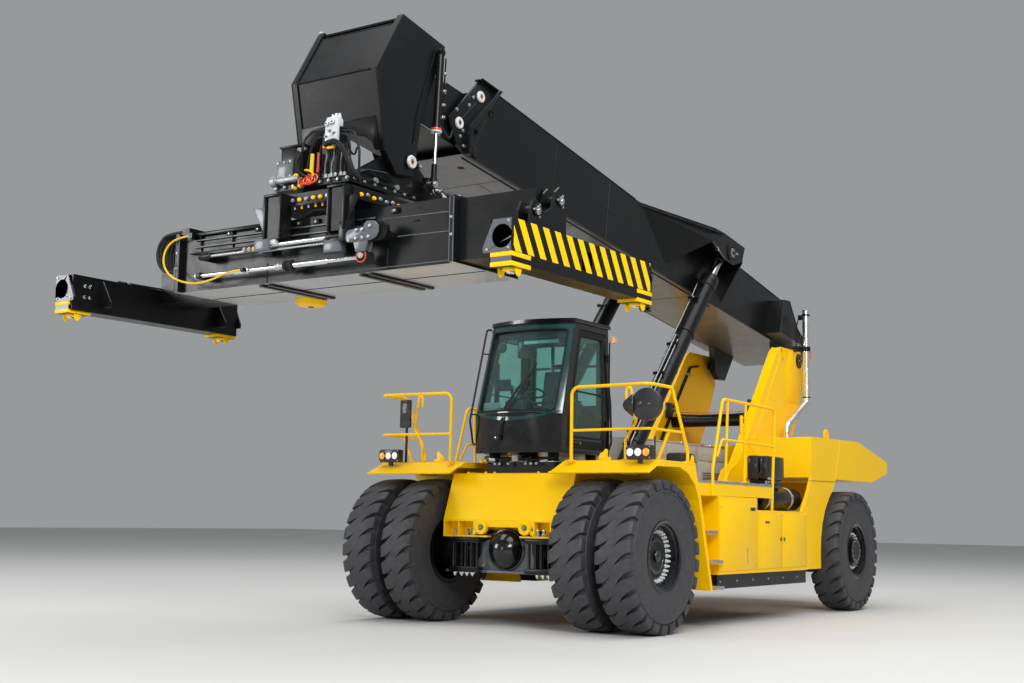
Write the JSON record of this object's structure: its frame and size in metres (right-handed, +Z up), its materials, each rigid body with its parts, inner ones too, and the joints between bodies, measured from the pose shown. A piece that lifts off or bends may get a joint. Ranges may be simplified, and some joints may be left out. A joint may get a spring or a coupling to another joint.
{
  "type": "reach stacker",
  "caption": "Reach stacker with a telescopic boom, a slewing container spreader, twin drive wheels, steered rear wheels and an operator cab",
  "frame": {"origin": "centre of the bounding box on the ground", "axes": "+X to the machine's left, -Y forward along the boom, +Z up"},
  "size_m": [6.06, 12.954, 6.6586],
  "materials": {
    "yellow_paint": "gloss machine enamel",
    "black_paint": "satin black enamel",
    "grey_paint": "satin grey enamel",
    "chrome_plate": "polished hard chrome",
    "bare_steel": "machined steel",
    "tyre_rubber": "matt tyre rubber",
    "cab_glazing": "green tinted safety glass",
    "seat_cloth": "woven seat cloth",
    "black_plastic": "moulded matt plastic",
    "hose_rubber": "braided hose cover",
    "yellow_hose_rubber": "smooth yellow hose cover"
  },
  "bodies": {
    "chassis": {"chassis_frame": "yellow_paint", "cab_stand": "black_paint", "drive_axle": "black_paint", "steer_axle": "black_paint", "front_bumper": "yellow_paint", "fenders": "yellow_paint", "platforms": "yellow_paint", "side_cabinets": "yellow_paint", "side_tanks": "black_paint", "service_hood": "grey_paint", "engine_block": "grey_paint", "towers": "yellow_paint", "rear_bodies": "yellow_paint", "counterweight": "yellow_paint", "exhaust_pipe": "chrome_plate", "cab_glass": "cab_glazing", "cab_shell": "black_paint", "cab_roof": "black_paint", "seat": "seat_cloth", "steering_column": "black_plastic", "handrails": "yellow_paint", "lamps_and_mirrors": "black_plastic", "lifting_eyes": "yellow_paint"},
    "front_wheel_left": {"front_tyres_left": "tyre_rubber", "front_rims_left": "black_paint"},
    "knuckle_left": {"knuckle_left": "black_paint"},
    "rear_wheel_left": {"rear_tyre_left": "tyre_rubber", "rear_rim_left": "black_paint"},
    "door_left": {"cab_door_left": "black_paint", "door_glass_left": "cab_glazing"},
    "front_wheel_right": {"front_tyres_right": "tyre_rubber", "front_rims_right": "black_paint"},
    "knuckle_right": {"knuckle_right": "black_paint"},
    "rear_wheel_right": {"rear_tyre_right": "tyre_rubber", "rear_rim_right": "black_paint"},
    "door_right": {"cab_door_right": "black_paint", "door_glass_right": "cab_glazing"},
    "outer_boom": {"outer_boom": "black_paint"},
    "inner_boom": {"inner_boom": "black_paint"},
    "lift_barrel_left": {"lift_barrel_left": "black_paint"},
    "lift_rod_left": {"lift_rod_left": "chrome_plate"},
    "lift_barrel_right": {"lift_barrel_right": "black_paint"},
    "lift_rod_right": {"lift_rod_right": "chrome_plate"},
    "spreader_head": {"head_frame": "black_paint"},
    "damper_barrel_left": {"damper_barrel_left": "black_paint"},
    "damper_rod_left": {"damper_rod_left": "chrome_plate"},
    "damper_barrel_right": {"damper_barrel_right": "black_paint"},
    "damper_rod_right": {"damper_rod_right": "chrome_plate"},
    "slew_carriage": {"slew_carriage": "black_paint"},
    "spreader_beam": {"main_beam": "black_paint", "beam_cylinders": "chrome_plate", "hose_loop_front": "hose_rubber", "hose_loop_rear": "hose_rubber", "yellow_hose": "yellow_hose_rubber"},
    "arm_left": {"arm_left": "black_paint"},
    "arm_right": {"arm_right": "black_paint"},
    "twistlock_front_left": {"twistlock_front_left": "bare_steel"},
    "twistlock_rear_left": {"twistlock_rear_left": "bare_steel"},
    "twistlock_front_right": {"twistlock_front_right": "bare_steel"},
    "twistlock_rear_right": {"twistlock_rear_right": "bare_steel"}
  },
  "joints": [
    {"name": "front_axle_turn_left", "type": "hinge", "parent": "chassis", "child": "front_wheel_left", "pos_m": [1.54, -1.773, 0.9], "axis": [1, 0, 0], "continuous": true},
    {"name": "steer_left", "type": "hinge", "parent": "chassis", "child": "knuckle_left", "pos_m": [1.4, 4.527, 0.9], "axis": [0, 0, 1], "range_deg": [-35, 35]},
    {"name": "rear_wheel_turn_left", "type": "hinge", "parent": "knuckle_left", "child": "rear_wheel_left", "pos_m": [1.861, 4.527, 0.9], "axis": [1, 0, 0], "continuous": true},
    {"name": "door_swing_left", "type": "hinge", "parent": "chassis", "child": "door_left", "pos_m": [0.668, -0.695, 2.9], "axis": [0, 0, 1], "range_deg": [0, 80]},
    {"name": "front_axle_turn_right", "type": "hinge", "parent": "chassis", "child": "front_wheel_right", "pos_m": [-1.54, -1.773, 0.9], "axis": [1, 0, 0], "continuous": true},
    {"name": "steer_right", "type": "hinge", "parent": "chassis", "child": "knuckle_right", "pos_m": [-1.4, 4.527, 0.9], "axis": [0, 0, 1], "range_deg": [-35, 35]},
    {"name": "rear_wheel_turn_right", "type": "hinge", "parent": "knuckle_right", "child": "rear_wheel_right", "pos_m": [-1.861, 4.527, 0.9], "axis": [1, 0, 0], "continuous": true},
    {"name": "door_swing_right", "type": "hinge", "parent": "chassis", "child": "door_right", "pos_m": [-0.668, -0.695, 2.9], "axis": [0, 0, -1], "range_deg": [0, 80]},
    {"name": "boom_lift", "type": "hinge", "parent": "chassis", "child": "outer_boom", "pos_m": [0, 5.197, 3.95], "axis": [-1, 0, 0], "range_deg": [-7.4, 52]},
    {"name": "boom_telescope", "type": "slide", "parent": "outer_boom", "child": "inner_boom", "axis": [0, 0.9916, -0.1297], "range_m": [-6, 0]},
    {"name": "lift_barrel_turn_left", "type": "hinge", "parent": "chassis", "child": "lift_barrel_left", "pos_m": [0.76, -0.463, 1.95], "axis": [-1, 0, 0], "range_deg": [-0.59, 4.1]},
    {"name": "lift_rod_slide_left", "type": "slide", "parent": "lift_barrel_left", "child": "lift_rod_left", "axis": [0, 0.6644, 0.7474], "range_m": [-0.37077, 2.60237]},
    {"name": "lift_barrel_turn_right", "type": "hinge", "parent": "chassis", "child": "lift_barrel_right", "pos_m": [-0.76, -0.463, 1.95], "axis": [-1, 0, 0], "range_deg": [-0.59, 4.1]},
    {"name": "lift_rod_slide_right", "type": "slide", "parent": "lift_barrel_right", "child": "lift_rod_right", "axis": [0, 0.6644, 0.7474], "range_m": [-0.37077, 2.60237]},
    {"name": "head_level", "type": "hinge", "parent": "inner_boom", "child": "spreader_head", "pos_m": [0, -4.85855, 5.06321], "axis": [1, 0, 0], "range_deg": [-7.41, 52.01]},
    {"name": "damper_barrel_turn_left", "type": "hinge", "parent": "inner_boom", "child": "damper_barrel_left", "pos_m": [0.65, -4.413, 6.4], "axis": [-1, 0, 0], "range_deg": [-0.23, 1.53]},
    {"name": "damper_rod_slide_left", "type": "slide", "parent": "damper_barrel_left", "child": "damper_rod_left", "axis": [0, 0.0533, 0.9986], "range_m": [-0.0502, 0.34975]},
    {"name": "damper_barrel_turn_right", "type": "hinge", "parent": "inner_boom", "child": "damper_barrel_right", "pos_m": [-0.65, -4.413, 6.4], "axis": [-1, 0, 0], "range_deg": [-0.23, 1.53]},
    {"name": "damper_rod_slide_right", "type": "slide", "parent": "damper_barrel_right", "child": "damper_rod_right", "axis": [0, 0.0533, 0.9986], "range_m": [-0.0502, 0.34975]},
    {"name": "slew", "type": "hinge", "parent": "spreader_head", "child": "slew_carriage", "pos_m": [0, -5.207, 4.62], "axis": [0, 0, 1], "range_deg": [-105, 195]},
    {"name": "side_shift", "type": "slide", "parent": "slew_carriage", "child": "spreader_beam", "axis": [1, 0, 0], "range_m": [-0.8, 0.8]},
    {"name": "arm_slide_left", "type": "slide", "parent": "spreader_beam", "child": "arm_left", "axis": [1, 0, 0], "range_m": [0, 3.07]},
    {"name": "arm_slide_right", "type": "slide", "parent": "spreader_beam", "child": "arm_right", "axis": [-1, 0, 0], "range_m": [0, 3.07]},
    {"name": "twistlock_front_left_turn", "type": "hinge", "parent": "arm_left", "child": "twistlock_front_left", "pos_m": [2.927, -6.3365, 3.5], "axis": [0, 0, 1], "range_deg": [0, 90]},
    {"name": "twistlock_rear_left_turn", "type": "hinge", "parent": "arm_left", "child": "twistlock_rear_left", "pos_m": [2.927, -4.0775, 3.5], "axis": [0, 0, 1], "range_deg": [0, 90]},
    {"name": "twistlock_front_right_turn", "type": "hinge", "parent": "arm_right", "child": "twistlock_front_right", "pos_m": [-2.927, -6.3365, 3.5], "axis": [0, 0, 1], "range_deg": [0, 90]},
    {"name": "twistlock_rear_right_turn", "type": "hinge", "parent": "arm_right", "child": "twistlock_rear_right", "pos_m": [-2.927, -4.0775, 3.5], "axis": [0, 0, 1], "range_deg": [0, 90]}
  ],
  "couplings": [
    {"joint": "steer_right", "follows": "steer_left", "ratio": 1},
    {"joint": "lift_barrel_turn_left", "follows": "boom_lift", "ratio": 0.078662},
    {"joint": "lift_rod_slide_left", "follows": "boom_lift", "m_per_rad": 2.8668},
    {"joint": "lift_barrel_turn_right", "follows": "boom_lift", "ratio": 0.078662},
    {"joint": "lift_rod_slide_right", "follows": "boom_lift", "m_per_rad": 2.8668},
    {"joint": "head_level", "follows": "boom_lift", "ratio": 1},
    {"joint": "damper_barrel_turn_left", "follows": "boom_lift", "ratio": 0.029199},
    {"joint": "damper_rod_slide_left", "follows": "boom_lift", "m_per_rad": 0.38481},
    {"joint": "damper_barrel_turn_right", "follows": "boom_lift", "ratio": 0.029199},
    {"joint": "damper_rod_slide_right", "follows": "boom_lift", "m_per_rad": 0.38481},
    {"joint": "arm_slide_right", "follows": "arm_slide_left", "ratio": 1},
    {"joint": "twistlock_rear_left_turn", "follows": "twistlock_front_left_turn", "ratio": 1},
    {"joint": "twistlock_front_right_turn", "follows": "twistlock_front_left_turn", "ratio": 1},
    {"joint": "twistlock_rear_right_turn", "follows": "twistlock_front_left_turn", "ratio": 1}
  ]
}
